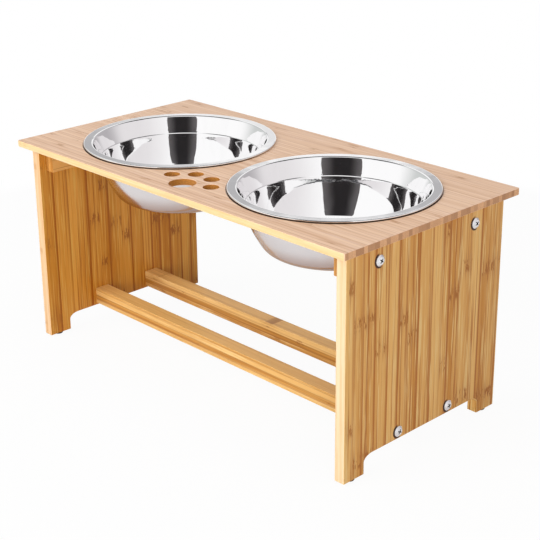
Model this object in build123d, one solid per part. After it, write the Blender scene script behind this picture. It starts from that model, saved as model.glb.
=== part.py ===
from build123d import *
import math
import os

# Elevated dog bowl stand: a bamboo board on two end panels, with two steel dishes that lift out.
# Millimetres. X runs along the long side, -Y is the front, where the paw is, and +Z is up.
# The origin is on the floor under the middle of the board.

# Steel dishes
rim_radius = 128.5            # outside of the rolled edge
flange_width = 11.3           # from the rolled edge to the outside of the wall
sheet = 0.8                   # thickness of the steel
bead_diameter = 2.6           # rolled edge
bend_radius = 2.6             # top of the bend from the flange into the wall
bowl_depth = 80.7             # top of the flange to the outside of the floor
upper_wall_taper = 19.0       # degrees from upright, above the ledge
middle_wall_taper = 13.0      # degrees from upright, just below the ledge
lower_wall_taper = 31.0       # degrees from upright, above the floor
ledge_depth = 23.0            # top of the flange to the ledge
ledge_step = 1.2              # how far the ledge steps in, and how far it drops
turn_share = 0.42             # of the way from the ledge to the floor, where the wall turns in
turn_radius = 100.0           # outside of that turn
base_fillet = 24.0            # outside corner between the wall and the floor
seat_gap = 0.3                # between the rolled edge and the board

# Top board
stand_height = 288.0          # floor to the top of the board
board_thickness = 8.6
bowl_gap = 26.0               # between the two rims
hole_clearance = 1.3          # around a dish's wall
side_margin = 34.0            # from a bowl hole to the long edge
board_corner = 2.5            # rounding of the board's corners, seen from above
edge_round = 0.8              # rounding of the wooden edges

# Paw cut through the board, placed from the front edge
toe_diameter = 20.0
paw_pad_diameter = 34.0
paw_pad_inset = 35.8          # from the front edge to the middle of the pad
inner_toe_x = 14.6
inner_toe_rise = 34.2         # from the middle of the pad, towards the back
outer_toe_x = 36.2
outer_toe_rise = 14.0

# End panels
panel_thickness = 14.2
end_overhang = 11.2           # board past the outside of a panel
side_overhang = 15.2          # board past a panel's front and rear edges
foot_width = 33.7
arch_rise = 22.5              # from the underside of the feet to the raised edge
arch_corner_length = 14.7
arch_corner_height = 7.9

# Cleats under the board
cleat_width = 14.5
cleat_height = 34.6
cleat_inset = 11.5            # from a panel's front or rear edge
cleat_hole_gap = 0.1          # between a cleat and the bowl hole beside it

# Rails between the end panels
rail_depth = 21.6
rail_height = 22.6
rail_spacing = 90.6           # between the middles of the two rails
rail_lift = 3.1               # from the raised edge of a panel to the underside of a rail

# Domed screws through the end panels
head_diameter = 13.3
head_height = 3.0
head_lip = 0.8                # upright edge under the dome
head_crown = 0.5              # rise of the dome's flatter middle
head_shoulder = 2.2           # width of the dome's steep edge
shoulder_round = 2.4          # between the edge and the middle
shank_diameter = 4.4
shank_clearance = 0.2         # around a shank that passes through
thread_fit = 0.05             # around a shank that bites
point_length = 4.0
cross_length = 6.4
cross_width = 1.6
cross_depth = 1.9
cross_taper = 12.0            # degrees, from the mouth of the cross inwards
panel_screw_inset = 53.7      # from a panel's front or rear edge to an upper screw
panel_screw_rise = 13.6       # from the underside of a cleat
cleat_tip_cover = 3.7         # wood left past the tip in a cleat
rail_bite = 30.8              # shank inside a rail
rail_pin_pitch = 9.4          # from a rail's screw up to its dowel

# Dowels in the rail ends
dowel_diameter = 6.0
dowel_in_panel = 9.0
dowel_in_rail = 16.0
dowel_end_gap = 0.5
dowel_fit = 0.05
dowel_chamfer = 0.6

# Countersunk screws up through the cleats into the board
sunk_head_diameter = 8.0
sunk_shank_diameter = 4.0
sunk_recess = 0.4             # head below the underside of the cleat
sunk_screw_inset = 20.8       # from a cleat's end
sunk_tip_cover = 3.2          # board left above the tip
sunk_cross_length = 3.6

# Anti-slip pads under the feet
grip_diameter = 12.0
grip_thickness = 3.0
grip_dome = 1.0               # rounding of the pad's lower edge

# Places that follow from the sizes above
wall_radius = rim_radius - flange_width
hole_radius = wall_radius + hole_clearance
bowl_x = rim_radius + bowl_gap / 2
cleat_inside = bowl_x + hole_radius + cleat_hole_gap
panel_inside = cleat_inside + cleat_width
panel_outside = panel_inside + panel_thickness
half_length = panel_outside + end_overhang
half_width = hole_radius + side_margin
panel_half = half_width - side_overhang
cleat_half = panel_half - cleat_inset
board_bottom = stand_height - board_thickness
flange_top = stand_height + seat_gap + bead_diameter
cleat_bottom = board_bottom - cleat_height
arch_top = grip_thickness + arch_rise
rail_bottom = arch_top + rail_lift
rail_middle = rail_bottom + rail_height / 2
rail_screw_z = rail_middle - rail_pin_pitch / 2
rail_dowel_z = rail_middle + rail_pin_pitch / 2
upper_screw_y = panel_half - panel_screw_inset
upper_screw_z = cleat_bottom + panel_screw_rise
sunk_screw_y = cleat_half - sunk_screw_inset
sunk_screw_x = (cleat_inside + panel_inside) / 2
foot_y = panel_half - foot_width / 2
panel_middle = (panel_inside + panel_outside) / 2

sides = {"left": -1, "right": 1}
ends = {"front": -1, "rear": 1}

# How far each domed screw stopped from square, in degrees
screw_turns = {
    ("upper", "front"): 52,
    ("upper", "rear"): 38,
    ("lower", "front"): 64,
    ("lower", "rear"): 15,
}


def save(name, shape):
    """Write one sub-part, named after its node."""
    shape.label = name
    export_step(shape, f"parts/{name}.step")


def corner_near(sketch, x, y):
    """The corner of a sketch nearest a point."""
    return sketch.vertices().sort_by_distance((x, y, 0))[0]


def bore(x, y, z, radius, length, direction):
    """A cylinder that starts at a point and runs along a direction."""
    plane = Plane(origin=(x, y, z), z_dir=direction)
    return plane * Cylinder(radius, length, align=(Align.CENTER, Align.CENTER, Align.MIN))


def bowl():
    """One dish: a flat flange with a rolled edge, a wall with a stacking ledge that turns in, a flat floor."""
    ledge_foot = ledge_depth + ledge_step
    slope_above = math.tan(math.radians(upper_wall_taper))
    slope_middle = math.tan(math.radians(middle_wall_taper))
    slope_below = math.tan(math.radians(lower_wall_taper))
    ledge_out = wall_radius - ledge_depth * slope_above
    ledge_in = ledge_out - ledge_step
    turn_depth = ledge_foot + turn_share * (bowl_depth - ledge_foot)
    turn_out = ledge_in - (turn_depth - ledge_foot) * slope_middle
    base_radius = turn_out - (bowl_depth - turn_depth) * slope_below
    bead_radius = bead_diameter / 2
    bead_middle = rim_radius - bead_radius
    inner_base = base_radius + sheet * slope_below - sheet

    outline = Polyline(
        (0, sheet - bowl_depth),
        (inner_base, sheet - bowl_depth),
        (turn_out - sheet, -turn_depth),
        (ledge_in - sheet, -ledge_foot),
        (ledge_out - sheet, -ledge_depth),
        (wall_radius - sheet, 0),
        (bead_middle, 0),
        (bead_middle, -sheet),
        (wall_radius, -sheet),
        (ledge_out, -ledge_depth),
        (ledge_in, -ledge_foot),
        (turn_out, -turn_depth),
        (base_radius, -bowl_depth),
        (0, -bowl_depth),
        close=True,
    )
    section = make_face(outline)
    rounds = [
        (inner_base, sheet - bowl_depth, base_fillet - sheet),
        (base_radius, -bowl_depth, base_fillet),
        (turn_out - sheet, -turn_depth, turn_radius - sheet),
        (turn_out, -turn_depth, turn_radius),
        (wall_radius - sheet, 0, bend_radius),
        (wall_radius, -sheet, bend_radius - sheet),
    ]
    for x, y, radius in rounds:
        section = fillet(corner_near(section, x, y), radius)

    # The edge is curled down and round, and stays open on the side towards the wall
    curl = Pos(bead_middle, -bead_radius) * (Circle(bead_radius) - Circle(bead_radius - sheet))
    opening = Pos(bead_middle - bead_radius, -bead_radius) * Rectangle(
        bead_diameter, bead_radius - sheet, align=(Align.CENTER, Align.MAX)
    )
    curl -= opening
    section = section + curl
    return revolve(Plane.XZ * section, Axis.Z)


def top_board():
    """The board, with its two bowl holes, the paw and the pilot holes for the cleat screws."""
    outline = RectangleRounded(2 * half_length, 2 * half_width, board_corner)
    holes = [(side * bowl_x, 0, hole_radius) for side in sides.values()]
    paw_y = paw_pad_inset - half_width
    holes.append((0, paw_y, paw_pad_diameter / 2))
    for side in sides.values():
        holes.append((side * inner_toe_x, paw_y + inner_toe_rise, toe_diameter / 2))
        holes.append((side * outer_toe_x, paw_y + outer_toe_rise, toe_diameter / 2))
    for x, y, radius in holes:
        outline -= Pos(x, y) * Circle(radius)
    board = extrude(Pos(0, 0, board_bottom) * outline, board_thickness)
    rims = board.faces().sort_by(Axis.Z)[-1].edges() + board.faces().sort_by(Axis.Z)[0].edges()
    board = fillet(rims, edge_round)
    for place in sunk_places():
        board -= bore(*place, board_bottom, sunk_shank_diameter / 2 + thread_fit,
                      board_thickness - sunk_tip_cover + thread_fit, (0, 0, 1))
    return board


def sunk_places():
    """Where the cleat screws stand, seen from above."""
    return [(side * sunk_screw_x, end * sunk_screw_y) for side in sides.values() for end in ends.values()]


def panel_screw_places():
    """Each domed screw of one panel: its name, its turn, and the Y and Z of its middle."""
    places = []
    for end_name, end in ends.items():
        upper_turn = screw_turns["upper", end_name]
        lower_turn = screw_turns["lower", end_name]
        places.append((f"upper_{end_name}", upper_turn, end * upper_screw_y, upper_screw_z))
        places.append((f"lower_{end_name}", lower_turn, end * rail_spacing / 2, rail_screw_z))
    return places


def end_panel(side):
    """An upright panel: two feet with a raised edge between them, screw holes and dowel holes."""
    height = board_bottom - grip_thickness
    half_arch = panel_half - foot_width
    corner_x = half_arch - arch_corner_length
    corner_z = arch_rise - arch_corner_height
    arch = make_face([
        Line((-half_arch, 0), (half_arch, 0)),
        Line((half_arch, 0), (half_arch, corner_z)),
        EllipticalCenterArc((corner_x, corner_z), arch_corner_length, arch_corner_height, 0, arc_size=90),
        Line((corner_x, arch_rise), (-corner_x, arch_rise)),
        EllipticalCenterArc((-corner_x, corner_z), arch_corner_length, arch_corner_height, 90, arc_size=90),
        Line((-half_arch, corner_z), (-half_arch, 0)),
    ])
    front = Rectangle(2 * panel_half, height, align=(Align.CENTER, Align.MIN)) - arch
    middle = Plane(origin=(side * panel_middle, 0, grip_thickness), x_dir=(0, 1, 0), z_dir=(1, 0, 0))
    panel = extrude(middle * front, panel_thickness / 2, both=True)
    panel = fillet(panel.edges().filter_by(Axis.Z), edge_round)
    outward = (side, 0, 0)
    for _, _, y, z in panel_screw_places():
        radius = shank_diameter / 2 + shank_clearance
        panel -= bore(side * panel_inside, y, z, radius, panel_thickness, outward)
    for end in ends.values():
        panel -= bore(side * panel_inside, end * rail_spacing / 2, rail_dowel_z,
                      dowel_diameter / 2 + dowel_fit, dowel_in_panel + dowel_end_gap, outward)
    return panel


def cleat(side):
    """A batten under the board, with pilot holes from the panel and countersunk holes from below."""
    middle = (side * sunk_screw_x, 0, cleat_bottom)
    solid = Pos(*middle) * Box(cleat_width, 2 * cleat_half, cleat_height,
                               align=(Align.CENTER, Align.CENTER, Align.MIN))
    inner_edge = solid.edges().filter_by(Axis.Y).sort_by_distance((0, 0, 0))[0]
    solid = fillet(inner_edge, edge_round)
    inward = (-side, 0, 0)
    depth = cleat_width - cleat_tip_cover + thread_fit
    for end in ends.values():
        solid -= bore(side * panel_inside, end * upper_screw_y, upper_screw_z,
                      shank_diameter / 2 + thread_fit, depth, inward)
        place = (side * sunk_screw_x, end * sunk_screw_y)
        solid -= bore(*place, cleat_bottom, sunk_shank_diameter / 2 + thread_fit, cleat_height, (0, 0, 1))
        solid -= bore(*place, cleat_bottom, sunk_head_diameter / 2, sunk_recess, (0, 0, 1))
        solid -= Pos(*place, cleat_bottom + sunk_recess) * sunk_cone()
    return solid


def rail(end):
    """A bar between the panels, with a screw pilot hole and a dowel hole in each end."""
    solid = Pos(0, end * rail_spacing / 2, rail_bottom) * Box(
        2 * panel_inside, rail_depth, rail_height, align=(Align.CENTER, Align.CENTER, Align.MIN)
    )
    solid = fillet(solid.edges().filter_by(Axis.X), edge_round)
    for side in sides.values():
        inward = (-side, 0, 0)
        place = (side * panel_inside, end * rail_spacing / 2)
        screw_radius = shank_diameter / 2 + thread_fit
        dowel_radius = dowel_diameter / 2 + dowel_fit
        solid -= bore(*place, rail_screw_z, screw_radius, rail_bite + thread_fit, inward)
        solid -= bore(*place, rail_dowel_z, dowel_radius, dowel_in_rail + dowel_end_gap, inward)
    return solid


def cross_recess(length, depth):
    """A cross-shaped pocket that narrows downwards, with its mouth at Z = 0."""
    cross = Rectangle(length, cross_width) + Rectangle(cross_width, length)
    return extrude(cross, -depth, taper=cross_taper)


def shank(radius, length):
    """A screw's shank and point, from Z = 0 down."""
    point = min(point_length, length / 2)
    outline = Polyline((0, 0), (radius, 0), (radius, point - length), (0, -length), close=True)
    return revolve(Plane.XZ * make_face(outline), Axis.Z)


def domed_screw(length, turn):
    """A domed screw along Z: the head stands on Z = 0 and the shank runs down from there."""
    radius = head_diameter / 2
    shoulder = (radius - head_shoulder, head_height - head_crown)
    dome = Polyline((0, 0), (radius, 0), (radius, head_lip), shoulder, (0, head_height), close=True)
    outline = make_face(dome)
    outline = fillet(corner_near(outline, *shoulder), shoulder_round)
    head = revolve(Plane.XZ * outline, Axis.Z)
    head -= Pos(0, 0, head_height) * cross_recess(cross_length, cross_depth)
    return Rotation(0, 0, turn) * (head + shank(shank_diameter / 2, length))


def sunk_cone():
    """The cone of a countersunk head, wide side down on Z = 0."""
    depth = (sunk_head_diameter - sunk_shank_diameter) / 2
    return Cone(sunk_head_diameter / 2, sunk_shank_diameter / 2, depth,
                align=(Align.CENTER, Align.CENTER, Align.MIN))


def sunk_screw():
    """A countersunk screw that points up, with its head's flat on Z = 0."""
    length = cleat_height - sunk_recess + board_thickness - sunk_tip_cover
    body = sunk_cone() + Rotation(180, 0, 0) * shank(sunk_shank_diameter / 2, length)
    return body - Rotation(180, 0, 0) * cross_recess(sunk_cross_length, cross_depth)


def dowel():
    """A dowel along X, with its rail end at X = 0 and its panel end at its full length."""
    length = dowel_in_rail + dowel_in_panel
    pin = Cylinder(dowel_diameter / 2, length, rotation=(0, 90, 0),
                   align=(Align.CENTER, Align.CENTER, Align.MIN))
    return chamfer(pin.edges().filter_by(GeomType.CIRCLE), dowel_chamfer)


def grip_pad():
    """A rubber pad on Z = 0, with a rounded lower edge."""
    pad = Cylinder(grip_diameter / 2, grip_thickness, align=(Align.CENTER, Align.CENTER, Align.MIN))
    return fillet(pad.edges().filter_by(GeomType.CIRCLE).sort_by(Axis.Z)[0], grip_dome)


save("top_board", top_board())

for end_name, end in ends.items():
    save(f"{end_name}_rail", rail(end))

for side_name, side in sides.items():
    save(f"{side_name}_bowl", Pos(side * bowl_x, 0, flange_top) * bowl())
    save(f"{side_name}_end_panel", end_panel(side))
    save(f"{side_name}_cleat", cleat(side))

    outward_turn = Rotation(0, side * 90, 0)
    for name, turn, y, z in panel_screw_places():
        bite = rail_bite if name.startswith("lower") else cleat_width - cleat_tip_cover
        screw = outward_turn * domed_screw(panel_thickness + bite, turn)
        save(f"{side_name}_{name}_screw", Pos(side * panel_outside, y, z) * screw)

    for end_name, end in ends.items():
        sunk_place = Pos(side * sunk_screw_x, end * sunk_screw_y, cleat_bottom + sunk_recess)
        save(f"{side_name}_cleat_{end_name}_screw", sunk_place * sunk_screw())

        pin = dowel() if side > 0 else mirror(dowel(), Plane.YZ)
        pin_place = Pos(side * (panel_inside - dowel_in_rail), end * rail_spacing / 2, rail_dowel_z)
        save(f"{side_name}_{end_name}_dowel", pin_place * pin)

        save(f"{side_name}_{end_name}_grip_pad", Pos(side * panel_middle, end * foot_y, 0) * grip_pad())
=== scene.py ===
import math

import bpy
import numpy as np
from bpy.props import FloatProperty, FloatVectorProperty, PointerProperty
from mathutils import Matrix, Vector


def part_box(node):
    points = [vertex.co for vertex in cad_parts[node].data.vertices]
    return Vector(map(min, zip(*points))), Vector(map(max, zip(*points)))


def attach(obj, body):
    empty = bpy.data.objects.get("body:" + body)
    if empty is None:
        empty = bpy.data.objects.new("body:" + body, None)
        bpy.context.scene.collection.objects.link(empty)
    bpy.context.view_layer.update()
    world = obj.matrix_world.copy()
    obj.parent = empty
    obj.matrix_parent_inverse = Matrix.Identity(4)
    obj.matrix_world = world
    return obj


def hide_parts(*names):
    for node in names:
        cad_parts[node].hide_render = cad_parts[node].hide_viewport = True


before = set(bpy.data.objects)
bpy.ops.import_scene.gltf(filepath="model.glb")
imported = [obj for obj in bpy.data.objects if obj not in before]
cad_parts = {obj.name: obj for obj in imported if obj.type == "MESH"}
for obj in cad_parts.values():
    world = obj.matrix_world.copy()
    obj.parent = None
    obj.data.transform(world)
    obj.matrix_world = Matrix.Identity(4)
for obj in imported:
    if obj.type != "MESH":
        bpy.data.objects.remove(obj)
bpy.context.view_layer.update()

bl_info = {
    "name": "Elevated dog bowl stand",
    "version": (1, 0, 0),
    "blender": (4, 5, 0),
    "location": "View3D > Sidebar > Bowl Stand",
    "description": "Wood, steel and rubber finishes for a raised feeder, its dishes and its studio",
    "category": "Object",
}

sides = ("left", "right")
ends = ("front", "rear")
dish_low, dish_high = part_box("right_bowl")
board_low, board_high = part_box("top_board")
dish_x = (dish_low.x + dish_high.x) / 2
rim_radius = (dish_high.x - dish_low.x) / 2


def toned(tone, *factors):
    """A colour multiplied by one number, or by one for each channel."""
    return tuple(c * k for c, k in zip(tone, factors * 3 if len(factors) == 1 else factors))


# ---------------------------------------------------------------- settings

def length(name, description, default, low=0.0):
    """A length in metres that a user can change."""
    return FloatProperty(name=name, description=description, default=default, min=low,
                         precision=4, unit="LENGTH", subtype="DISTANCE")


def colour(name, description, default):
    """A surface colour, in linear values."""
    return FloatVectorProperty(name=name, description=description, default=default,
                               size=3, min=0.0, max=1.0, subtype="COLOR")


def share(name, description, default, top=1.0):
    """A number without a unit."""
    return FloatProperty(name=name, description=description, default=default, min=0.0, max=top)


class DishSettings(bpy.types.PropertyGroup):
    """Sizes and steel of the two dishes."""

    rim_radius: length("Rim radius", "Outside of the rolled edge", rim_radius)
    depth: length("Depth", "From the flange down to the underside of the floor", dish_high.z - dish_low.z)
    flange_width: length("Flange width", "From the rolled edge to the outside of the wall", 0.0113)
    sheet: length("Sheet", "Thickness of the steel", 0.0008)
    bead: length("Rolled edge", "Diameter of the rolled edge", 0.0026)
    bend: length("Bend", "Radius of the bend from the flange into the wall", 0.0026)
    ledge_depth: length("Ledge depth", "From the flange down to the ledge", 0.0230)
    ledge_step: length("Ledge step", "How far the ledge steps in", 0.0008)
    ledge_round: length("Ledge round", "Softness of the ledge's corners", 0.0008)
    upper_taper: FloatProperty(name="Upper taper", description="Slope of the wall above the ledge",
                               default=math.radians(19.0), subtype="ANGLE", unit="ROTATION")
    middle_taper: FloatProperty(name="Middle taper", description="Slope of the wall below the ledge",
                                default=math.radians(13.0), subtype="ANGLE", unit="ROTATION")
    lower_taper: FloatProperty(name="Lower taper", description="Slope of the wall towards the floor",
                               default=math.radians(31.0), subtype="ANGLE", unit="ROTATION")
    turn_share: share("Turn", "Where the wall turns in, on the way from the ledge to the floor", 0.42)
    turn_round: length("Turn round", "Radius of that turn", 0.100)
    base_fillet: length("Base fillet", "Outside corner between the wall and the floor", 0.0240)
    steel: colour("Steel", "Colour of the polished inside", (0.97, 0.965, 0.97))
    outer_steel: colour("Outer steel", "Colour of the satin outside", (0.80, 0.77, 0.78))
    mirror: share("Mirror roughness", "Roughness of the polished inside", 0.035)
    satin: share("Satin roughness", "Roughness of the outside", 0.20)


class BambooSettings(bpy.types.PropertyGroup):
    """Strips and tones of the laminated bamboo."""

    board_strip: length("Board strip", "Width of the strips in the top board", 0.0060)
    panel_strip: length("Panel strip", "Width of the strips in the end panels", 0.0185)
    rail_ply: length("Rail ply", "Thickness of a layer in the rails", 0.0075)
    cleat_ply: length("Cleat ply", "Thickness of a layer in the cleats", 0.004875)
    board_pale: colour("Board, pale", "Palest strips of the top board", (0.83, 0.56, 0.375))
    board_deep: colour("Board, deep", "Deepest strips of the top board", (0.75, 0.475, 0.30))
    end_pale: colour("Board end, pale", "Palest strips where the board's ends are cut", (0.66, 0.365, 0.19))
    end_deep: colour("Board end, deep", "Deepest strips where the board's ends are cut", (0.41, 0.205, 0.10))
    # Darker partly from the cutter and partly as painted shade inside the holes
    sawn: colour("Sawn wall", "Walls of the round cut-outs", (0.52, 0.21, 0.035))
    board_edge: colour("Board edge", "Long edges of the top board", (0.80, 0.62, 0.35))
    panel_pale: colour("Right panel, pale", "Palest strips of the right end panel", (0.97, 0.60, 0.20))
    panel_deep: colour("Right panel, deep", "Deepest strips of the right end panel", (0.66, 0.30, 0.050))
    # The left panel is the same bamboo as the right; its darker, more orange tones are painted shade, as its
    # inner face lies under the board
    left_shaded_pale: colour("Left panel, pale", "Palest strips of the left end panel", (1.0, 0.49, 0.085))
    left_shaded_deep: colour("Left panel, deep", "Deepest strips of the left end panel", (0.62, 0.235, 0.013))
    panel_edge: colour("Right panel, edge", "Upright edges of the right end panel", (0.84, 0.615, 0.39))
    # Darker than the right panel's edges, as painted shade
    left_shaded_edge: colour("Left panel, edge", "Upright edges of the left end panel", (0.79, 0.53, 0.31))
    rail_pale: colour("Rail, pale", "Outer layers of the rails", (0.90, 0.58, 0.22))
    rail_deep: colour("Rail, deep", "Middle layer of the rails", (0.62, 0.30, 0.065))
    # Painted light: the rails' upper faces are made paler for the light that falls on them
    rail_top_light_tone: colour("Rail, top", "Upper faces of the rails", (0.98, 0.61, 0.22))
    # The cleats' tones are darkened as painted shade, for the shade under the board
    cleat_shaded_pale: colour("Cleat, pale", "Palest layers of the cleats", (0.84, 0.45, 0.135))
    cleat_shaded_deep: colour("Cleat, deep", "Deepest layers of the cleats", (0.52, 0.22, 0.035))
    knot: colour("Knot", "Joints of the bamboo stem", (0.36, 0.13, 0.020))
    dowel: colour("Dowel", "Turned beech", (0.72, 0.50, 0.30))


class FittingSettings(bpy.types.PropertyGroup):
    """Screws and pads."""

    zinc: colour("Zinc", "Bright plated screws", (0.90, 0.89, 0.91))
    rubber: colour("Rubber", "Anti-slip pads", (0.045, 0.036, 0.030))


class StudioSettings(bpy.types.PropertyGroup):
    """Camera, light, floor and cloth."""

    camera_place: FloatVectorProperty(name="Camera place", description="Where the camera stands", size=3,
                                      default=(1.151356, -1.075785, 0.776235), subtype="XYZ", unit="LENGTH")
    camera_yaw: FloatProperty(name="Yaw", description="Turn of the camera from +Y towards -X",
                              default=0.8060, subtype="ANGLE", unit="ROTATION")
    camera_pitch: FloatProperty(name="Pitch", description="Tilt of the camera from level",
                                default=-0.3500, subtype="ANGLE", unit="ROTATION")
    camera_roll: FloatProperty(name="Roll", description="Turn of the camera about its own axis",
                               default=-0.0090, subtype="ANGLE", unit="ROTATION")
    lens: FloatProperty(name="Lens", description="Focal length in millimetres", default=86.822)
    shift: FloatProperty(name="Shift", description="Upward shift of the view", default=-0.08)
    sky: share("Sky", "Light from all round", 0.44, 5.0)
    key: FloatProperty(name="Key", description="Power of the large front lamp", default=46.0, unit="POWER")
    top: FloatProperty(name="Top", description="Power of the overhead lamp", default=15.0, unit="POWER")
    fill: FloatProperty(name="Fill", description="Power of the lamp on the right", default=30.0, unit="POWER")
    floor_reach: length("Floor reach", "Half the side of the floor", 3.0)
    cloth_x: length("Cloth, X", "Middle of the dark cloth along X", 0.508, -10.0)
    cloth_y: length("Cloth, Y", "Middle of the dark cloth along Y", -0.595, -10.0)
    cloth_half: length("Cloth, half width", "From the cloth's middle to its side", 0.365)
    cloth_low: length("Cloth, foot", "Height of the cloth's lower edge", 0.16)
    cloth_high: length("Cloth, top", "Height of the cloth's upper edge", 1.25)
    cloth_turn: FloatProperty(name="Cloth turn", description="Turn of the cloth from +X towards +Y",
                              default=math.radians(40.458), subtype="ANGLE", unit="ROTATION")


# ------------------------------------------------------------ shader maths

class Field:
    """One socket of a material. Sums on it add Math nodes."""

    def __init__(self, recipe, socket):
        self.recipe = recipe
        self.socket = socket

    def also(self, name):
        """Another output of the same node."""
        return Field(self.recipe, self.socket.node.outputs[name])

    def _sum(self, operation, first, second):
        return self.recipe.node("Math", {"operation": operation}, {0: first, 1: second})

    def __add__(self, other):
        return self._sum("ADD", self, other)

    __radd__ = __add__

    def __sub__(self, other):
        return self._sum("SUBTRACT", self, other)

    def __rsub__(self, other):
        return self._sum("SUBTRACT", other, self)

    def __mul__(self, other):
        return self._sum("MULTIPLY", self, other)

    __rmul__ = __mul__

    def __truediv__(self, other):
        return self._sum("DIVIDE", self, other)

    def __rtruediv__(self, other):
        return self._sum("DIVIDE", other, self)

    def __abs__(self):
        return self.recipe.node("Math", {"operation": "ABSOLUTE"}, {0: self})


class Recipe:
    """A node material for one finish, with the few steps that the finishes share."""

    def __init__(self, name, tree=None):
        if tree is None:
            self.material = bpy.data.materials.new(name)
            self.material.use_nodes = True
            tree = self.material.node_tree
        self.tree = tree
        self.tree.nodes.clear()

    def node(self, kind, settings={}, sockets={}, out=0):
        """Adds a node: its type, its settings, which are set first, and the values or links of its sockets."""
        made = self.tree.nodes.new("ShaderNode" + kind)
        for key, value in settings.items():
            setattr(made, key, value)
        for key, value in sockets.items():
            if isinstance(value, Field):
                self.tree.links.new(value.socket, made.inputs[key])
            else:
                made.inputs[key].default_value = value
        return Field(self, made.outputs[out])

    def place(self):
        """Where a point lies, in the object's own coordinates, as three values."""
        split = self.node("SeparateXYZ", {}, {0: self.node("TexCoord", out="Object")})
        return split, split.also("Y"), split.also("Z")

    def facing(self):
        """How far the surface faces along X, Y and Z, each from 0 to 1."""
        split = self.node("SeparateXYZ", {}, {0: self.node("TexCoord", out="Normal")})
        return abs(split), abs(split.also("Y")), abs(split.also("Z"))

    def point(self, x, y, z):
        """A vector put together from values."""
        return self.node("CombineXYZ", {}, {0: x, 1: y, 2: z})

    def grain(self, vector, detail=2.0, roughness=0.5, scale=1.0, distortion=0.0):
        """Smooth noise from 0 to 1. The larger a part of the vector, the finer the noise along it."""
        return self.node("TexNoise", {}, {"Vector": vector, "Scale": scale, "Detail": detail,
                                          "Roughness": roughness, "Distortion": distortion})

    def ramp(self, value, low, high, start=0.0, stop=1.0):
        """A smooth step: start where the value is low, stop where it is high."""
        return self.node("MapRange", {"interpolation_type": "SMOOTHSTEP"},
                         {0: value, 1: low, 2: high, 3: start, 4: stop})

    def whole(self, value):
        """The whole part of a value."""
        return self.node("Math", {"operation": "FLOOR"}, {0: value})

    def part(self, value):
        """What a value has after its whole part."""
        return self.node("Math", {"operation": "FRACT"}, {0: value})

    def larger(self, first, second):
        """The larger of two values."""
        return self.node("Math", {"operation": "MAXIMUM"}, {0: first, 1: second})

    def radius(self, first, second):
        """The distance from an axis, from the two offsets across it."""
        return self.node("Math", {"operation": "SQRT"}, {0: first * first + second * second})

    def blend(self, mask, first, second):
        """Two colours mixed by a mask: the first where it is 0, the second where it is 1."""
        tones = [t if isinstance(t, Field) else (*t, 1.0) for t in (first, second)]
        return self.node("Mix", {"data_type": "RGBA"}, {0: mask, 6: tones[0], 7: tones[1]}, out=2)

    def finish(self, shader):
        """Links the last shader to the output."""
        out = self.tree.nodes.new("ShaderNodeOutputMaterial")
        self.tree.links.new(shader.socket, out.inputs["Surface"])
        return self.material


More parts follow.
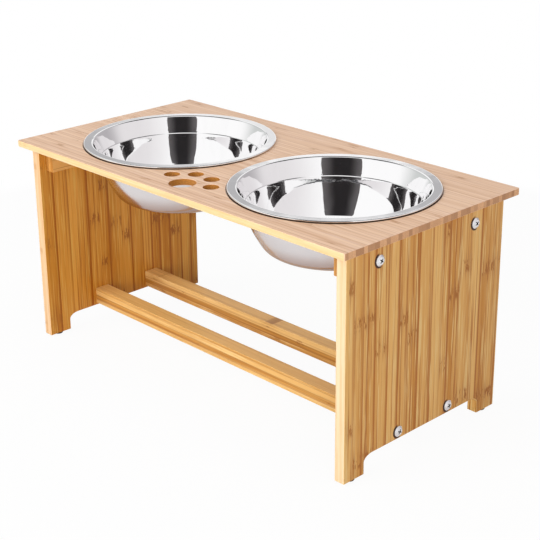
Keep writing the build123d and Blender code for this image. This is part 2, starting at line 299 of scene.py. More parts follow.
def bamboo(name, along, across, strip, tones, knot, edge=None, edge_at=1.0, ply=None, ply_from=0.0,
           cuts=None, holes=None, heart=None, top_light_tone=None, heads=(), rims=None, period=0.21, seed=0.0,
           contrast=1.0, fine=1.0, gloss=0.4):
    """Laminated bamboo, worked out from where a point lies in the piece.

    Strips of uneven width lie side by side across the piece, each with its own tone. Within a strip, long
    streaks and short fibres run along it, the outer wall of the stem leaves a darker line beside some glue
    lines, and every so often a joint of the stem leaves a brown smudge. Layers, where there are any, have
    strips of their own. End faces show each strip's cut bundles, and rounded corners are a little paler from
    sanding.

    The long edges at edge_at can have a tone of their own. A heart is a darker layer between two heights. The
    tone for the upper faces is painted light: it makes them paler for the light that falls on them. Holes have
    cut walls within a reach of the middle, darker partly from the cutter and partly as painted shade inside the
    holes. Screw heads, each given by its place across and up and its radius, get a painted shadow on the wood
    beside the front of their rim, and dish rims, given by their place along and their radius, a painted shadow
    beside the front half of their rolled edge. Period is the distance between a strip's joints. Fine scales
    what lies within a strip, and contrast scales that and the strips' lines.
    """
    wood = Recipe(name)
    pale, deep = tones
    cut_pale, cut_deep = cuts or (pale, toned(deep, 0.86, 0.80, 0.74))
    brown = toned(deep, 0.62, 0.44, 0.30)
    bright = tuple(min(1.0, c) for c in toned(pale, 1.10, 1.22, 1.55))
    # Colours of the painted shadows beside the screw heads and beside the dish rims
    head_shadow_dark, rim_shadow_dark = (0.040, 0.010, 0.004), (0.030, 0.010, 0.004)
    layer_shift, strip_shift, joint_shift = 7.37, 13.0, 5.71
    x, y, z = wood.place()
    axes = {"X": x, "Y": y, "Z": z}
    facing = dict(zip("XYZ", wood.facing()))
    through_name = next(a for a in "XYZ" if a not in (along, across))
    run, side, through = axes[along], axes[across], axes[through_name]

    lane = side / strip + seed
    if ply:
        layer = wood.whole((through - ply_from) / ply)
        lane = lane + layer * layer_shift
        between = abs(wood.part((through - ply_from) / ply + 0.5) - 0.5) * ply
    cell = {"W": lane, "Scale": 1.0, "Randomness": 0.60}
    strips = wood.node("TexVoronoi", {"voronoi_dimensions": "1D"}, cell, out="Color")
    chance = wood.node("SeparateColor", {}, {0: strips})
    chance_two, chance_three = chance.also("Green"), chance.also("Blue")
    seam = wood.node("TexVoronoi", {"voronoi_dimensions": "1D", "feature": "DISTANCE_TO_EDGE"},
                     cell, out="Distance") * strip

    # Long streaks a few millimetres wide, broad bands, paler spindles, and fibres under a millimetre wide
    shift = chance * strip_shift
    streaks = wood.grain(wood.point(run * 4.0 + shift, side * 300.0, through * 300.0),
                         detail=3.0, roughness=0.6)
    bands = wood.grain(wood.point(run * 1.6 + shift, side * 95.0, through * 60.0), detail=2.0)
    spindles = wood.grain(wood.point(run * 13.0 + shift, side * 520.0, through * 420.0),
                          detail=2.0, roughness=0.6)
    fibres = wood.grain(wood.point(run * 38.0, side * 1500.0, through * 1500.0), detail=2.0, roughness=0.7)

    strength = contrast * fine
    body = wood.blend(wood.ramp(chance, 0.10, 0.90), deep, pale)
    body = wood.blend(wood.ramp(bands, 0.36, 0.66) * (0.45 * strength), body, pale)
    body = wood.blend(wood.ramp(streaks, 0.50, 0.70) * min(1.0, 0.62 * strength), body, brown)
    body = wood.blend(wood.ramp(spindles, 0.52, 0.66) * min(1.0, 0.66 * strength), body, bright)

    # The stem's outer wall, on one side of some seams, fading along its length
    wall_side = wood.ramp(lane - strips.also("W"), 0.02, 0.10)
    wall = wood.ramp(seam, strip / 3.7, strip / 18.5) * wall_side
    wall = wall * wood.ramp(chance_two, 0.30, 0.40) * wood.ramp(bands, 0.78, 0.45)
    body = wood.blend(wall * min(1.0, 0.92 * contrast), body, brown)
    body = wood.blend(wood.ramp(fibres, 0.55, 0.75) * (0.14 * contrast), body, brown)

    if heart:
        # A darker layer between two heights, with the fine lines of its own strips
        low, high = heart
        soft = 0.0004
        level = z + (streaks - 0.5) * 0.0010
        core = wood.ramp(level, low - soft, low + soft) * wood.ramp(level, high + soft, high - soft)
        lines = wood.blend(wood.ramp(streaks, 0.30, 0.70), deep, toned(deep, 0.62, 0.45, 0.20))
        body = wood.blend(core * wood.ramp(bands, 0.15, 0.50, 0.65, 1.0), body, lines)
        ends_of_core = wood.larger(wood.ramp(abs(level - low), 0.0005, 0.0001),
                                   wood.ramp(abs(level - high), 0.0005, 0.0001))
        body = wood.blend(ends_of_core * 0.45, body, toned(brown, 0.6))

    # Painted light: the upper faces are made paler
    if top_light_tone:
        upper = wood.ramp(facing["Z"], 0.75, 0.90)
        body = wood.blend(upper * wood.ramp(streaks, 0.2, 0.8, 0.85, 0.45), body, top_light_tone)

    # Joints of the stem, at a place of its own in each strip
    wander = wood.grain(wood.point(run * 60.0, side * 240.0, chance_two * 31.0), detail=3.0, roughness=0.65)
    beat = wood.part(run / period + chance_two * joint_shift + 0.13)
    distance = abs(beat - 0.5) * period
    smudge = wood.ramp(distance, 0.0120, 0.0040) * wood.ramp(wander, 0.50, 0.56)
    halo = wood.ramp(distance, 0.024, 0.004) * wood.ramp(streaks, 0.42, 0.58)
    mark = wood.larger(smudge, halo * 0.45) * wood.ramp(chance_three, 0.20, 0.32)
    body = wood.blend(mark * min(1.0, contrast), body, knot)

    # Glue lines, between strips and between layers
    glue = wood.ramp(seam, 0.00055, 0.0001) * (0.26 * contrast)
    if ply:
        glue = wood.larger(glue, wood.ramp(between, 0.0005, 0.0001) * 0.45)
    body = wood.blend(glue, body, toned(brown, 0.7))

    # End grain and sanded corners
    dots = wood.grain(wood.point(side * 900.0, through * 900.0, run * 10.0), detail=2.0)
    end_face = wood.ramp(facing[along], 0.70, 0.85)
    cut = wood.blend(wood.ramp(chance_two, 0.05, 0.95), cut_deep, cut_pale)
    cut = wood.blend(wood.ramp(dots, 0.48, 0.66) * 0.35, cut, toned(cut_deep, 0.72))
    cut = wood.blend(glue, cut, toned(cut_deep, 0.6))
    body = wood.blend(end_face, body, cut)
    most = wood.larger(wood.larger(facing["X"], facing["Y"]), facing["Z"])
    sanded = wood.ramp(most, 0.97, 0.80) * 0.30

    if holes:
        # Sawn walls of the round cut-outs: darker partly from toasting by the cutter and partly as painted
        # shade inside the holes
        reach, tone = holes
        inner = wood.ramp(facing["Z"], 0.60, 0.35) * wood.ramp(abs(x), reach, reach - 0.002)
        inner = inner * wood.ramp(abs(y), edge_at - 0.002, edge_at - 0.004)
        toast_and_shade = wood.blend(wood.ramp(dots, 0.35, 0.70), toned(tone, 0.7), tone)
        body = wood.blend(inner, body, toast_and_shade)
        sanded = sanded * (1.0 - inner)

    if edge:
        # Long edges, with the layers' fine lines
        rim = wood.blend(wood.ramp(streaks, 0.35, 0.72) * 0.80, edge, toned(edge, 0.90, 0.80, 0.62))
        rim = wood.blend(wood.ramp(spindles, 0.50, 0.62) * 0.45, rim, toned(edge, 0.88, 0.75, 0.58))
        rim = wood.blend(mark * 0.55, rim, toned(edge, 0.72, 0.55, 0.38))
        outer = wood.ramp(abs(y), edge_at - 0.0016, edge_at - 0.0006) * wood.ramp(facing["Y"], 0.50, 0.75)
        body = wood.blend(outer, body, rim)
    body = wood.blend(sanded, body, bright)

    for head_y, head_z, radius in heads:
        # Painted shadow: the wood is dark beside the front of a screw head's rim, where its shadow falls
        sign = wood.node("Math", {"operation": "SIGN"}, {0: y})
        aside, up = y - sign * head_y, z - head_z
        head_shadow = wood.ramp(wood.radius(aside, up), radius + 0.0029, radius + 0.0017)
        head_shadow = head_shadow * wood.ramp(aside + up * 0.3, 0.5 * radius, -0.3 * radius)
        body = wood.blend(head_shadow * wood.ramp(facing["X"], 0.8, 0.95), body, head_shadow_dark)

    if rims:
        # Painted shadow on the wood beside the front half of each dish's rolled edge, where the edge's contact
        # shadow falls
        rim_x, radius = rims
        off = wood.radius(abs(x) - rim_x, y)
        rim_shadow = wood.ramp(off, radius + 0.0019, radius + 0.0006)
        rim_shadow = rim_shadow * wood.ramp(off, radius - 0.0026, radius - 0.0012) * wood.ramp(y - x * 0.35, 0.07, -0.04)
        body = wood.blend(rim_shadow * wood.ramp(facing["Z"], 0.8, 0.95), body, rim_shadow_dark)

    relief = fibres * 0.40 + streaks * 0.30 - glue * 0.8 - mark * 0.3
    normal = wood.node("Bump", {}, {"Strength": 0.30, "Distance": 0.00022, "Height": relief})
    shader = wood.node("BsdfPrincipled", {}, {
        "Base Color": body,
        "Roughness": wood.ramp(fibres, 0.2, 0.8, gloss - 0.05, gloss + 0.09) + end_face * 0.12,
        "IOR": 1.45,
        "Specular IOR Level": 0.28,
        "Coat Weight": 0.08,
        "Coat Roughness": 0.25,
        "Normal": normal,
    })
    return wood.finish(shader)


def turned_beech(name, tone):
    """Plain beech: fine fibres along X, with short dark flecks."""
    wood = Recipe(name)
    x, y, z = wood.place()
    fibres = wood.grain(wood.point(x * 60.0, y * 1400.0, z * 1400.0), detail=3.0, roughness=0.6)
    flecks = wood.ramp(wood.grain(wood.point(x * 420.0, y * 2600.0, z * 2600.0), detail=1.0), 0.62, 0.70)
    body = wood.blend(fibres, toned(tone, 0.80), tone)
    body = wood.blend(flecks * 0.45, body, toned(tone, 0.5))
    normal = wood.node("Bump", {}, {"Strength": 0.3, "Distance": 0.0001, "Height": fibres})
    return wood.finish(wood.node("BsdfPrincipled", {}, {
        "Base Color": body, "Roughness": wood.ramp(fibres, 0.2, 0.8, 0.50, 0.68), "Normal": normal}))


def dish_steel(name, tone, roughness, polish, ledge=0.0):
    """Spun stainless steel: fine rings about the dish's upright axis, a slight waviness and faint wipe marks.

    The polished inside is more wavy at the ledge and hardly at all on the flange and the floor, which are
    pressed flat. The satin outside is painted darker and browner towards the floor of the dish, as painted
    shade and a painted reflection of the wooden stand.
    """
    steel = Recipe(name)
    x, y, z = steel.place()
    radius = steel.radius(abs(x) - dish_x, y)
    rings = steel.grain(steel.point(radius * 2600.0, z * 2600.0, 0.0), detail=2.0, roughness=0.7)
    waves = steel.grain(steel.point(x, y, z), scale=34.0, detail=1.0)
    wipes = steel.grain(steel.point(x * 22.0, y * 22.0, z * 9.0), detail=3.0, roughness=0.65, distortion=1.2)
    body = steel.blend(steel.ramp(wipes, 0.35, 0.80) * 0.30, tone, toned(tone, 0.92))
    if polish:
        ripple = steel.grain(steel.point(x, y, z), scale=150.0, detail=2.0)
        below_flange = steel.ramp(z, dish_high.z - 0.0008, dish_high.z - 0.005, 0.25, 1.0)
        above_floor = steel.ramp(z, dish_low.z + 0.002, dish_low.z + 0.020, 0.25, 1.0)
        height = rings * 0.004 + waves * below_flange * above_floor
        height = height + ripple * 0.22 * steel.ramp(abs(z - ledge), 0.012, 0.001)
    else:
        height = rings * 0.03 + waves * 0.30
        # Painted shade and reflection of the wood: darker and browner towards the floor of the dish
        low = steel.ramp(z, dish_high.z - 0.050, dish_low.z + 0.006)
        body = steel.blend(low, body, toned(tone, 0.68, 0.57, 0.53))
    normal = steel.node("Bump", {}, {"Strength": 1.0, "Distance": 0.00030, "Height": height})
    worn = steel.ramp(wipes, 0.40, 0.75, roughness * 0.85, roughness * 1.25)
    return steel.finish(steel.node("BsdfPrincipled", {}, {
        "Base Color": body, "Metallic": 1.0, "Roughness": worn, "Normal": normal}))


def plated_zinc(name, tone, middle, mouth, along="X"):
    """Bright plated steel with tiny scuffs, and painted shade in the driver recess.

    The recess is what lies within its arms' length of the screw's axis and deeper than its mouth, which falls
    away from the axis as the domed head does. Screws that mirror each other share a finish, so their axis is
    given by the sizes of its places, without signs.
    """
    arm, dome_fall, soft = 0.0036, 0.1124, 0.0003
    plate = Recipe(name)
    x, y, z = plate.place()
    scuffs = plate.grain(plate.point(x, y, z), scale=900.0, detail=3.0, roughness=0.7)
    film = plate.grain(plate.point(x, y, z), scale=160.0, detail=2.0)
    if along == "X":
        first, second, depth = abs(y) - middle[0], z - middle[1], mouth - abs(x)
    else:
        first, second, depth = abs(x) - middle[0], abs(y) - middle[1], z - mouth
    off = plate.radius(first, second)
    # Painted shade in the driver recess: near black and not metallic
    recess_shade = plate.ramp(off, arm, arm - soft) * plate.ramp(depth - off * dome_fall, 0.00008, 0.00022)
    body = plate.blend(plate.ramp(film, 0.35, 0.75), tone, toned(tone, 0.82))
    body = plate.blend(recess_shade, body, (0.012, 0.011, 0.010))
    normal = plate.node("Bump", {}, {"Strength": 0.35, "Distance": 0.00004, "Height": scuffs})
    return plate.finish(plate.node("BsdfPrincipled", {}, {
        "Base Color": body, "Metallic": 1.0 - recess_shade, "Specular IOR Level": 0.0,
        "Roughness": plate.ramp(scuffs, 0.3, 0.75, 0.16, 0.32) + recess_shade * 0.4, "Normal": normal}))


def pad_rubber(name, tone):
    """Moulded rubber with a fine stipple and a little dust low down."""
    pad = Recipe(name)
    x, y, z = pad.place()
    stipple = pad.grain(pad.point(x, y, z), scale=1600.0, detail=2.0)
    dust = pad.grain(pad.point(x, y, z), scale=240.0, detail=3.0)
    low = pad.ramp(z, 0.0026, 0.0002) * pad.ramp(dust, 0.42, 0.70)
    body = pad.blend(low * 0.35, tone, (0.20, 0.17, 0.14))
    normal = pad.node("Bump", {}, {"Strength": 0.5, "Distance": 0.00010, "Height": stipple})
    return pad.finish(pad.node("BsdfPrincipled", {}, {
        "Base Color": body, "Roughness": pad.ramp(stipple, 0.3, 0.7, 0.62, 0.80), "Normal": normal}))


def dress(node, material):
    """Gives a CAD node its material, in place of the one it came with."""
    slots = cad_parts[node].data.materials
    slots.clear()
    slots.append(material)


# ------------------------------------------------------------ dish surface

def rounded(corners, spacing):
    """A section line through corners, each given as r, z and a radius.

    A corner with a radius is replaced by an arc that touches both of its lines: it starts at the radius divided
    by the tangent of half the corner's angle from the corner, and a share t of its turn w lies at
    centre + (sin((1 - t) w) first + sin(t w) last) / sin w, where first and last lead from the centre to its
    ends. Straight stretches are divided evenly at the spacing, so that the surface keeps its slope there.
    """
    points = np.array([c[:2] for c in corners], float)
    pieces = [points[:1]]
    for i in range(1, len(points)):
        radius = corners[i][2] if i < len(points) - 1 else 0.0
        if radius:
            back = points[i - 1] - points[i]
            on = points[i + 1] - points[i]
            back /= np.linalg.norm(back)
            on /= np.linalg.norm(on)
            half = np.arccos(np.clip(back @ on, -1, 1)) / 2
            reach = radius / math.tan(half)
            middle = (back + on) / np.linalg.norm(back + on)
            centre = points[i] + middle * radius / math.sin(half)
            start, stop = points[i] + back * reach, points[i] + on * reach
            turn = math.pi - 2 * half
            count = max(4, math.ceil(turn / math.radians(7)))
            t = np.linspace(0, 1, count + 1)[:, None]
            first, last = start - centre, stop - centre
            arc = centre + (np.sin((1 - t) * turn) * first + np.sin(t * turn) * last) / math.sin(turn)
        else:
            arc = points[i:i + 1]
        gap = arc[0] - pieces[-1][-1]
        parts = max(1, math.ceil(np.linalg.norm(gap) / spacing))
        line = pieces[-1][-1] + np.linspace(0, 1, parts + 1)[1:-1, None] * gap
        pieces += [line, arc]
    return np.concatenate(pieces)


def circle_arc(centre, radius, start, stop, count):
    """Points centre + radius (cos a, sin a) on a circle, for angles a from start to stop, in degrees."""
    angle = np.radians(np.linspace(start, stop, count))
    return np.stack([centre[0] + radius * np.cos(angle), centre[1] + radius * np.sin(angle)], 1)


def turned_shell(name, section, middle, around, materials, slot_of_row):
    """A surface of revolution: every point of the section, from the axis back to the axis, is carried round.

    Point (r, z) at angle a lands at middle + (r cos a, r sin a, z). The two ends on the axis are single points,
    joined to their neighbours by triangles, so the shell is closed.
    """
    rings = section[1:-1]
    angle = np.linspace(0, 2 * math.pi, around, endpoint=False)
    x = middle.x + rings[:, :1] * np.cos(angle)
    y = middle.y + rings[:, :1] * np.sin(angle)
    z = middle.z + np.repeat(rings[:, 1:], around, axis=1)
    wall = np.stack([x, y, z], 2).reshape(-1, 3)
    poles = np.array([[middle.x, middle.y, middle.z + section[0, 1]],
                      [middle.x, middle.y, middle.z + section[-1, 1]]])
    row = np.arange(len(rings) - 1)[:, None] * around
    here = np.arange(around)[None, :]
    after = (here + 1) % around
    quads = np.stack([row + here, row + around + here, row + around + after, row + after], 2).reshape(-1, 4)
    last = (len(rings) - 1) * around
    first_cap = np.stack([np.full(around, len(wall)), here[0], after[0]], 1)
    last_cap = np.stack([np.full(around, len(wall) + 1), last + after[0], last + here[0]], 1)
    mesh = bpy.data.meshes.new(name)
    mesh.from_pydata(np.concatenate([wall, poles]).tolist(), [],
                     quads.tolist() + first_cap.tolist() + last_cap.tolist())
    for material in materials:
        mesh.materials.append(material)
    slot = np.repeat(np.asarray(slot_of_row, np.int32), around)
    slot = np.concatenate([slot, np.full(around, slot_of_row[0]), np.full(around, slot_of_row[-1])])
    mesh.polygons.foreach_set("material_index", slot.astype(np.int32))
    mesh.polygons.foreach_set("use_smooth", np.ones(len(mesh.polygons), bool))
    mesh.update()
    made = bpy.data.objects.new(name, mesh)
    bpy.context.scene.collection.objects.link(made)
    return made


def dish_section(s):
    """The dish's section from the middle of its floor inside, over the flange and the rolled edge, to the
    middle of its underside; and how many of its points belong to the inside and to the edge.

    Radii and heights are measured from the axis and from the top of the flange. The wall's outside is at
    radius wall under the flange, ledge_out and ledge_in at the ledge, turn_out where the slope changes and base
    at the underside: each is the one before it less the height between them times the tangent of the slope.
    The inside is one sheet's thickness further in. Two more points hold the flange flat up to its bend and its
    rolled edge.
    """
    wall = s.rim_radius - s.flange_width
    foot = s.ledge_depth + s.ledge_step
    ledge_out = wall - s.ledge_depth * math.tan(s.upper_taper)
    ledge_in = ledge_out - s.ledge_step
    turn = foot + s.turn_share * (s.depth - foot)
    turn_out = ledge_in - (turn - foot) * math.tan(s.middle_taper)
    slope = math.tan(s.lower_taper)
    base = turn_out - (s.depth - turn) * slope
    inner_base = base + s.sheet * slope - s.sheet
    ball = s.bead / 2
    centre = (s.rim_radius - ball, -ball)
    flat_start, flat_stop = wall - s.sheet + s.bend * 0.85, centre[0] - s.bead * 0.12
    ledge_round, foot_round = s.ledge_round * 0.5, s.ledge_round * 0.4
    spacing = 0.0030
    inside = rounded([
        (0.0, s.sheet - s.depth, 0.0),
        (inner_base, s.sheet - s.depth, s.base_fillet - s.sheet),
        (turn_out - s.sheet, -turn, s.turn_round - s.sheet),
        (ledge_in - s.sheet, -foot, foot_round),
        (ledge_out - s.sheet, -s.ledge_depth, ledge_round),
        (wall - s.sheet, 0.0, s.bend),
        (flat_start, 0.0, 0.0),
        (flat_stop, 0.0, 0.0),
        (centre[0], 0.0, 0.0),
    ], spacing)
    curl = circle_arc(centre, ball, 90, -150, 25)[1:]
    back = circle_arc(centre, ball - s.sheet, -150, 90, 17)
    outside = rounded([
        (centre[0], -s.sheet, 0.0),
        (wall, -s.sheet, s.bend - s.sheet),
        (ledge_out, -s.ledge_depth, ledge_round),
        (ledge_in, -foot, foot_round),
        (turn_out, -turn, s.turn_round),
        (base, -s.depth, s.base_fillet),
        (0.0, -s.depth, 0.0),
    ], spacing)[1:]
    section = np.concatenate([inside, curl, back, outside])
    return section, len(inside), len(curl)


class BOWLSTAND_OT_dishes(bpy.types.Operator):
    """Turn both steel dishes from their section and lay them in the board"""

    bl_idname = "bowlstand.dishes"
    bl_label = "Steel dishes"

    def execute(self, context):
        s = context.scene.bowlstand_dish
        section, inside, edge = dish_section(s)
        mirror = dish_steel("dish_mirror_steel", s.steel, s.mirror, True, dish_high.z - s.ledge_depth)
        satin = dish_steel("dish_satin_steel", s.outer_steel, s.satin, False)
        # The polished steel ends where the rolled edge does
        rows = np.arange(len(section) - 3)
        slots = (rows >= inside + edge - 2).astype(np.int32)
        around = 256
        for side in sides:
            low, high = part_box(f"{side}_bowl")
            middle = Vector(((low.x + high.x) / 2, (low.y + high.y) / 2, high.z))
            dish = turned_shell(f"{side}_dish_turned", section, middle, around, (mirror, satin), slots)
            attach(dish, f"{side}_dish")
            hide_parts(f"{side}_bowl")
        return {"FINISHED"}


# ---------------------------------------------------------- wooden pieces

class BOWLSTAND_OT_board(bpy.types.Operator):
    """Give the top board its narrow strips along the length, with pale long edges"""

    bl_idname = "bowlstand.board"
    bl_label = "Top board"

    def execute(self, context):
        s = context.scene.bowlstand_bamboo
        dress("top_board", bamboo(
            "board_bamboo", "X", "Y", s.board_strip, (s.board_pale, s.board_deep), s.knot, edge=s.board_edge,
            edge_at=board_high.y, cuts=(s.end_pale, s.end_deep), holes=(board_high.x - 0.004, s.sawn),
            rims=(dish_x, rim_radius), period=0.31, seed=3.1, contrast=0.55, gloss=0.38))
        return {"FINISHED"}


class BOWLSTAND_OT_panels(bpy.types.Operator):
    """Give the end panels their wide upright strips, with pale front and rear edges"""

    bl_idname = "bowlstand.panels"
    bl_label = "End panels"

    def execute(self, context):
        s = context.scene.bowlstand_bamboo
        heads = []
        for row in ("upper", "lower"):
            low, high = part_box(f"right_{row}_rear_screw")
            heads.append(((low.y + high.y) / 2, (low.z + high.z) / 2, (high.z - low.z) / 2))
        # The left panel's tones are painted shade: a darker, more orange copy of the right panel's bamboo
        wood = {"left": (s.left_shaded_pale, s.left_shaded_deep, s.left_shaded_edge, 0.115, 33.3, 0.85),
                "right": (s.panel_pale, s.panel_deep, s.panel_edge, 0.17, 42.7, 1.0)}
        for side, (pale, deep, edge, period, seed, fine) in wood.items():
            low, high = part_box(f"{side}_end_panel")
            dress(f"{side}_end_panel", bamboo(
                f"{side}_panel_bamboo", "Z", "Y", s.panel_strip, (pale, deep), s.knot, edge=edge,
                edge_at=high.y, ply=(high.x - low.x) / 2, ply_from=low.x, heads=heads, period=period,
                seed=seed, contrast=1.5, fine=fine, gloss=0.40))
        return {"FINISHED"}


class BOWLSTAND_OT_rails(bpy.types.Operator):
    """Give the two rails their three flat layers"""

    bl_idname = "bowlstand.rails"
    bl_label = "Rails"

    def execute(self, context):
        s = context.scene.bowlstand_bamboo
        for end, seed in zip(ends, (5.2, 23.9)):
            low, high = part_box(f"{end}_rail")
            heart = [low.z + share_of * (high.z - low.z) for share_of in (0.30, 0.56)]
            dress(f"{end}_rail", bamboo(
                f"{end}_rail_bamboo", "X", "Z", s.rail_ply, (s.rail_pale, s.rail_deep), s.knot,
                heart=heart, top_light_tone=s.rail_top_light_tone, period=0.24, seed=seed, contrast=0.7, gloss=0.42))
        return {"FINISHED"}


class BOWLSTAND_OT_cleats(bpy.types.Operator):
    """Give the two cleats under the board their upright layers"""

    bl_idname = "bowlstand.cleats"
    bl_label = "Cleats"

    def execute(self, context):
        s = context.scene.bowlstand_bamboo
        for side, seed in zip(sides, (61.3, 78.8)):
            # Darker tones as painted shade under the board
            dress(f"{side}_cleat", bamboo(
                f"{side}_cleat_bamboo", "Y", "X", s.cleat_ply, (s.cleat_shaded_pale, s.cleat_shaded_deep), s.knot,
                period=0.19, seed=seed, contrast=1.2, gloss=0.44))
        return {"FINISHED"}


class BOWLSTAND_OT_fasteners(bpy.types.Operator):
    """Plate the screws and turn the dowels from beech"""

    bl_idname = "bowlstand.fasteners"
    bl_label = "Screws and dowels"

    def execute(self, context):
        zinc = context.scene.bowlstand_fittings.zinc
        beech = turned_beech("dowel_beech", context.scene.bowlstand_bamboo.dowel)
        for row in ("upper", "lower", "cleat"):
            low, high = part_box(f"right_{row}_rear_screw")
            x, y, z = [(a + b) / 2 for a, b in zip(low, high)]
            if row == "cleat":
                plate = plated_zinc("cleat_screw_zinc", zinc, (x, y), low.z, along="Z")
            else:
                plate = plated_zinc(f"{row}_screw_zinc", zinc, (y, z), high.x)
            for side in sides:
                for end in ends:
                    dress(f"{side}_{row}_{end}_screw", plate)
        for side in sides:
            for end in ends:
                dress(f"{side}_{end}_dowel", beech)
        return {"FINISHED"}


class BOWLSTAND_OT_pads(bpy.types.Operator):
    """Give the four pads under the feet their rubber"""

    bl_idname = "bowlstand.pads"
    bl_label = "Grip pads"

    def execute(self, context):
        rubber = pad_rubber("grip_rubber", context.scene.bowlstand_fittings.rubber)
        for side in sides:
            for end in ends:
                dress(f"{side}_{end}_grip_pad", rubber)
        return {"FINISHED"}


# ------------------------------------------------------------------ studio

def lamp(name, place, target, size, power):
    """A soft square lamp that faces a point."""
    data = bpy.data.lights.new(name, "AREA")
    data.shape = "SQUARE"
    data.size = size
    data.energy = power
    made = bpy.data.objects.new(name, data)
    made.location = place
    made.rotation_euler = (Vector(target) - Vector(place)).to_track_quat("-Z", "Y").to_euler()
    made.visible_glossy = False
    bpy.context.scene.collection.objects.link(made)


def card(name, corners, material):
    """A flat four-cornered piece of the studio."""
    mesh = bpy.data.meshes.new(name)
    mesh.from_pydata(corners, [], [(0, 1, 2, 3)])
    mesh.materials.append(material)
    made = bpy.data.objects.new(name, mesh)
    bpy.context.scene.collection.objects.link(made)
    return made


def floor_white():
    """A pale floor that only the object's shadow marks.

    Light from the stand and the lamps meets plain paint. Seen directly or in the steel the paint glows white
    but for a share of the shadow, which is let go further out, and the floor isn't seen from below.
    """
    direct, less_in_steel = 0.945, 0.565
    shadow_start, shadow_stop = 0.42, 0.95
    floor = Recipe("studio_floor")
    path = floor.node("LightPath", out="Is Camera Ray")
    mirrored = path.also("Is Glossy Ray")
    seen = floor.larger(path, floor.larger(mirrored, path.also("Is Transmission Ray")))
    x, y, _ = floor.place()
    away = floor.radius(x, y)
    lit = floor.node("BsdfDiffuse", {}, {"Color": (0.80, 0.80, 0.80, 1.0)})
    glow = floor.node("Emission", {}, {"Color": (1.0, 1.0, 1.0, 1.0), "Strength": 1.0})
    white_share = floor.larger(floor.ramp(away, shadow_start, shadow_stop), direct - mirrored * less_in_steel)
    white = floor.node("MixShader", {}, {0: white_share, 1: lit, 2: glow})
    surface = floor.node("MixShader", {}, {0: seen, 1: lit, 2: white})
    under = floor.node("NewGeometry", out="Backfacing")
    clear = floor.node("BsdfTransparent")
    return floor.finish(floor.node("MixShader", {}, {0: under, 1: surface, 2: clear}))


def sky_light(strength, yaw):
    """White all round for the eye, and a plain level on the object.

    What the steel shows of the studio has tones of its own: white in front, a little greyer to the right, greys
    behind on both sides, a grey band across the back, and dark overhead but for the front. Rightward and
    forward say how far a direction points to the right of the view and towards the camera, and z how far it
    points up.
    """
    white, right_grey, overhead = (1.0, 1.0, 1.0), (0.79, 0.765, 0.775), (0.05, 0.05, 0.055)
    behind_right, behind_left, band_grey = (0.46, 0.44, 0.455), (0.62, 0.64, 0.63), (0.47, 0.465, 0.475)
    world = bpy.data.worlds.new("studio_sky")
    bpy.context.scene.world = world
    world.use_nodes = True
    sky = Recipe("studio_sky", world.node_tree)
    path = sky.node("LightPath", out="Is Camera Ray")
    split = sky.node("SeparateXYZ", {}, {0: sky.node("TexCoord", out="Generated")})
    x, y, z = split, split.also("Y"), split.also("Z")
    rightward = x * math.cos(yaw) + y * math.sin(yaw)
    forward = x * math.sin(yaw) - y * math.cos(yaw)
    seen = sky.blend(sky.ramp(rightward, 0.05, 0.95), white, right_grey)
    behind = sky.ramp(forward, 0.05, -0.55)
    seen = sky.blend(behind * sky.ramp(rightward, 0.20, 0.55), seen, behind_right)
    seen = sky.blend(behind * sky.ramp(rightward, -0.20, -0.55), seen, behind_left)

    # The band reaches lower towards the left
    leftmost = sky.larger(sky.ramp(rightward, -0.03, -0.12), sky.ramp(z, 0.290, 0.281) * 0.4)
    band = sky.larger(sky.ramp(z, 0.290, 0.309), sky.ramp(z, 0.245, 0.275) * leftmost)
    band = band * sky.ramp(z, 0.352, 0.322) * sky.ramp(forward, -0.20, -0.50)
    seen = sky.blend(band, seen, band_grey)
    seen = sky.blend(sky.ramp(forward, 0.30, 0.14) * sky.ramp(z, 0.70, 0.76), seen, overhead)

    tone = sky.blend(path.also("Is Glossy Ray"), (strength, strength, strength), seen)
    tone = sky.blend(sky.larger(path, path.also("Is Transmission Ray")), tone, white)
    background = sky.node("Background", {}, {"Color": tone, "Strength": 1.0})
    out = sky.tree.nodes.new("ShaderNodeOutputWorld")
    sky.tree.links.new(background.socket, out.inputs["Surface"])


def black_cloth(s):
    """A dark upright cloth in front of the stand, a little paler towards its sides. The steel shows it and
    nothing else does."""
    middle_tone, side_tone = (0.038, 0.035, 0.037, 1.0), (0.20, 0.19, 0.195, 1.0)
    plain_half = 0.10
    middle = Vector((s.cloth_x, s.cloth_y, 0.0))
    along = Vector((math.cos(s.cloth_turn), math.sin(s.cloth_turn), 0.0))
    dark = Recipe("black_cloth")
    x, y, _ = dark.place()
    aside = (x - middle.x) * along.x + (y - middle.y) * along.y
    weave = dark.finish(dark.node("MixShader", {}, {
        0: dark.ramp(abs(aside), plain_half, s.cloth_half),
        1: dark.node("BsdfDiffuse", {}, {"Color": middle_tone}),
        2: dark.node("BsdfDiffuse", {}, {"Color": side_tone}),
    }))
    left, right = middle - along * s.cloth_half, middle + along * s.cloth_half
    cloth = card("black_cloth", [(left.x, left.y, s.cloth_low), (right.x, right.y, s.cloth_low),
                                 (right.x, right.y, s.cloth_high), (left.x, left.y, s.cloth_high)], weave)
    for kind in ("camera", "diffuse", "shadow", "transmission"):
        setattr(cloth, "visible_" + kind, False)


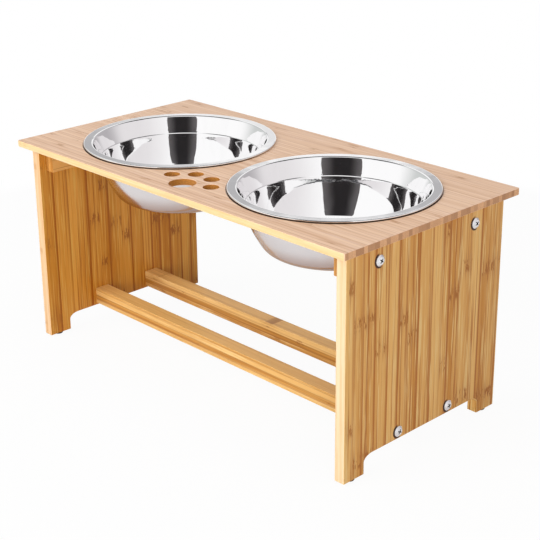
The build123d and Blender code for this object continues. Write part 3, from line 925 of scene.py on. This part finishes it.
def photo_camera(s):
    """A camera that looks ahead = (-cos p sin y, cos p cos y, sin p) for its yaw y and pitch p, then turns
    about that line by its roll."""
    data = bpy.data.cameras.new("photo_camera")
    camera = bpy.data.objects.new("photo_camera", data)
    bpy.context.scene.collection.objects.link(camera)
    data.sensor_width = 36.0
    data.lens = s.lens
    data.shift_y = s.shift
    data.clip_start, data.clip_end = 0.05, 60.0
    yaw, pitch, roll = s.camera_yaw, s.camera_pitch, s.camera_roll
    ahead = Vector((-math.cos(pitch) * math.sin(yaw), math.cos(pitch) * math.cos(yaw), math.sin(pitch)))
    right = ahead.cross(Vector((0, 0, 1))).normalized()
    up = right.cross(ahead)
    c, n = math.cos(roll), math.sin(roll)
    turned = Matrix((c * right + n * up, -n * right + c * up, -ahead)).transposed()
    camera.matrix_world = Matrix.Translation(Vector(s.camera_place)) @ turned.to_4x4()
    bpy.context.scene.camera = camera


class BOWLSTAND_OT_studio(bpy.types.Operator):
    """Set up the floor, the sky, the soft lamps, the dark cloth and the camera"""

    bl_idname = "bowlstand.studio"
    bl_label = "Studio"

    def execute(self, context):
        s = context.scene.bowlstand_studio
        reach = s.floor_reach
        card("studio_floor", [(-reach, -reach, 0.0), (reach, -reach, 0.0), (reach, reach, 0.0),
                              (-reach, reach, 0.0)], floor_white())
        sky_light(s.sky, s.camera_yaw)
        lamp("key_lamp", place=(-0.55, -2.35, 1.35), target=(0.0, 0.0, 0.20), size=1.7, power=s.key)
        lamp("top_lamp", place=(0.1, -0.1, 2.6), target=(0.0, 0.0, 0.2), size=1.8, power=s.top)
        lamp("fill_lamp", place=(2.2, -1.5, 0.55), target=(0.0, 0.0, 0.15), size=1.2, power=s.fill)
        black_cloth(s)
        photo_camera(s)
        context.scene.view_settings.view_transform = "Standard"
        return {"FINISHED"}


class BOWLSTAND_PT_steps(bpy.types.Panel):
    """Lists the stand's pieces in the sidebar"""

    bl_idname = "BOWLSTAND_PT_steps"
    bl_label = "Bowl Stand"
    bl_space_type = "VIEW_3D"
    bl_region_type = "UI"
    bl_category = "Bowl Stand"

    def draw(self, context):
        for step in steps:
            self.layout.operator(step.bl_idname)
        for group in groups:
            settings = getattr(context.scene, "bowlstand_" + group)
            box = self.layout.box()
            for name in settings.bl_rna.properties.keys():
                if name not in ("rna_type", "name"):
                    box.prop(settings, name)


groups = {"dish": DishSettings, "bamboo": BambooSettings, "fittings": FittingSettings, "studio": StudioSettings}
steps = (BOWLSTAND_OT_dishes, BOWLSTAND_OT_board, BOWLSTAND_OT_panels, BOWLSTAND_OT_rails,
         BOWLSTAND_OT_cleats, BOWLSTAND_OT_fasteners, BOWLSTAND_OT_pads, BOWLSTAND_OT_studio)


def register():
    """Adds the settings, the steps and the sidebar panel."""
    for kind in (*groups.values(), *steps, BOWLSTAND_PT_steps):
        bpy.utils.register_class(kind)
    for name, group in groups.items():
        setattr(bpy.types.Scene, "bowlstand_" + name, PointerProperty(type=group))


def unregister():
    """Takes them out again, in the reverse order."""
    for name in groups:
        delattr(bpy.types.Scene, "bowlstand_" + name)
    for kind in reversed((*groups.values(), *steps, BOWLSTAND_PT_steps)):
        bpy.utils.unregister_class(kind)


def main():
    register()
    bpy.ops.bowlstand.dishes()
    bpy.ops.bowlstand.board()
    bpy.ops.bowlstand.panels()
    bpy.ops.bowlstand.rails()
    bpy.ops.bowlstand.cleats()
    bpy.ops.bowlstand.fasteners()
    bpy.ops.bowlstand.pads()
    bpy.ops.bowlstand.studio()


if __name__ == "__main__":
    main()
